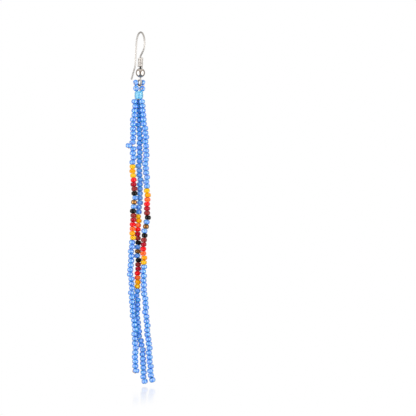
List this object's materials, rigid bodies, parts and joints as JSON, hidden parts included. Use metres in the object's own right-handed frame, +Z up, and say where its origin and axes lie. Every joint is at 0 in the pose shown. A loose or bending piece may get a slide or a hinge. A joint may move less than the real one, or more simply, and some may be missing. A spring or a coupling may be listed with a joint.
{
  "type": "tassel earring",
  "caption": "Long beaded tassel earring: strands of small glass beads with a banded stretch hang under a larger bead and a ring of beads from a bent wire ear hook with a coil and ball.",
  "frame": {"origin": "the inside of the top of the ear hook's bow, where it sits in the ear", "axes": "+Z up; +X across the hook's plane, to the right when the hook is seen with its belly nearest; the belly faces -Y and the tail faces +Y"},
  "size_m": [0.0098, 0.0122, 0.1176],
  "materials": {
    "polished_metal": "polished silver-tone plating",
    "blue_glass": "glossy opaque",
    "turquoise_glass": "glossy, slightly milky",
    "yellow_glass": "glossy opaque",
    "amber_glass": "glossy opaque",
    "orange_glass": "glossy opaque",
    "red_glass": "glossy opaque",
    "crimson_glass": "glossy opaque",
    "brick_glass": "glossy opaque",
    "black_glass": "glossy opaque",
    "bronze_glass": "metallic lustre coating",
    "beading_thread": "waxed nylon"
  },
  "bodies": {
    "hook": {"ear_hook": "polished_metal", "hook_coil": "polished_metal", "hook_ball": "polished_metal"},
    "tassel": {"head_bead": "turquoise_glass", "left_amber_beads": "amber_glass", "left_band_thread": "beading_thread", "left_black_beads": "black_glass", "left_blue_beads": "blue_glass", "left_brick_beads": "brick_glass", "left_bronze_beads": "bronze_glass", "left_crimson_beads": "crimson_glass", "left_end_bead": "blue_glass", "left_lower_beads": "blue_glass", "left_orange_beads": "orange_glass", "left_red_beads": "red_glass", "left_side_bead": "blue_glass", "left_upper_beads": "blue_glass", "left_yellow_beads": "yellow_glass", "middle_amber_beads": "amber_glass", "middle_band_thread": "beading_thread", "middle_black_beads": "black_glass", "middle_blue_beads": "blue_glass", "middle_brick_beads": "brick_glass", "middle_bronze_beads": "bronze_glass", "middle_crimson_beads": "crimson_glass", "middle_end_bead": "blue_glass", "middle_lower_beads": "blue_glass", "middle_orange_beads": "orange_glass", "middle_red_beads": "red_glass", "middle_upper_beads": "blue_glass", "middle_yellow_beads": "yellow_glass", "right_amber_beads": "amber_glass", "right_band_thread": "beading_thread", "right_black_beads": "black_glass", "right_blue_beads": "blue_glass", "right_brick_beads": "brick_glass", "right_bronze_beads": "bronze_glass", "right_crimson_beads": "crimson_glass", "right_end_bead": "blue_glass", "right_lower_beads": "blue_glass", "right_orange_beads": "orange_glass", "right_red_beads": "red_glass", "right_upper_beads": "blue_glass", "right_yellow_beads": "yellow_glass", "ring_bead_lower_left": "blue_glass", "ring_bead_lower_right": "blue_glass", "ring_bead_upper_left": "blue_glass", "ring_bead_upper_right": "blue_glass", "ring_thread": "beading_thread"}
  },
  "joints": [
    {"name": "tassel_swing", "type": "hinge", "parent": "hook", "child": "tassel", "pos_m": [0, 0.00055, -0.01693], "axis": [1, 0, 0], "range_deg": [-45, 45]}
  ]
}
